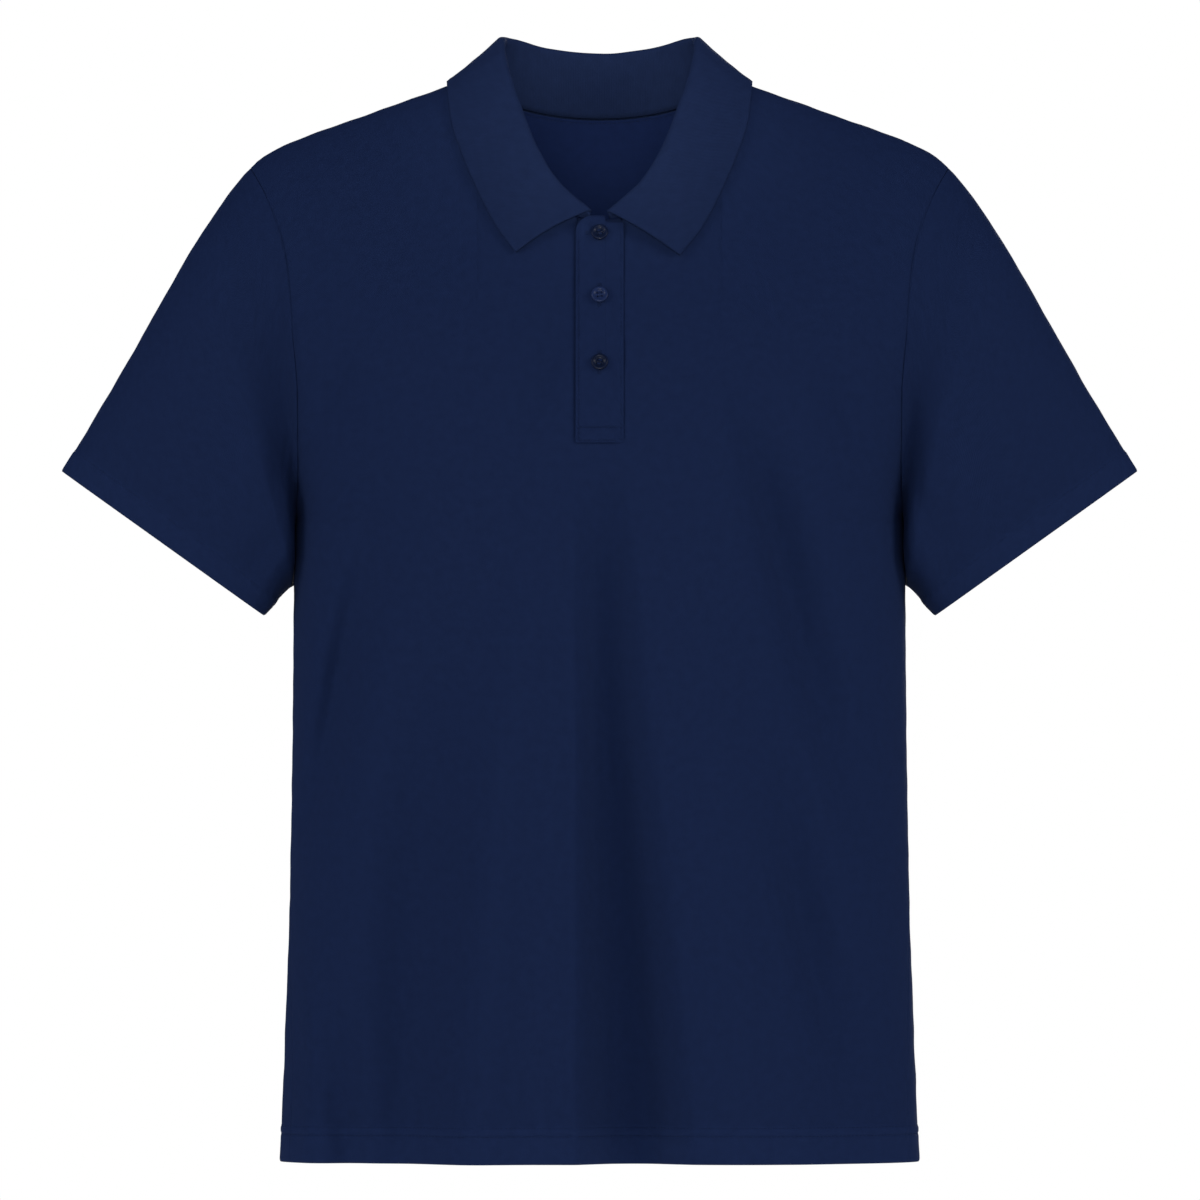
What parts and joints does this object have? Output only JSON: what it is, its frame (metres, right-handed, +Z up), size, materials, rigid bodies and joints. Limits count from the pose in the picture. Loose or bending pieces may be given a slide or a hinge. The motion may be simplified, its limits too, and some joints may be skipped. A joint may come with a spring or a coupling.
{
  "type": "polo shirt",
  "caption": "Short-sleeved knitted polo shirt, filled out as if worn but empty: turned-down collar, buttoned front placket, set-in sleeves, open neck, hem and cuffs.",
  "frame": {"origin": "Midway between the two side-neck points at the height of the shoulders, in the plane of the shoulder seams, where a wearer's shoulders carry the shirt.", "axes": "+X is the wearer's left, +Y the wearer's back and +Z up. The hem is 744 mm below the origin."},
  "size_m": [0.7392, 0.2402, 0.7738],
  "materials": {
    "shirt_cloth": "matte pique knit, dark navy",
    "collar_knit": "matte flat knit, dark navy",
    "button": "satin, dark navy"
  },
  "bodies": {
    "root": {"front": "shirt_cloth", "back": "shirt_cloth", "sleeve_right": "shirt_cloth", "sleeve_left": "shirt_cloth", "placket_top": "shirt_cloth", "placket_under": "shirt_cloth", "collar": "collar_knit", "button_1": "button", "button_2": "button", "button_3": "button"}
  },
  "joints": []
}
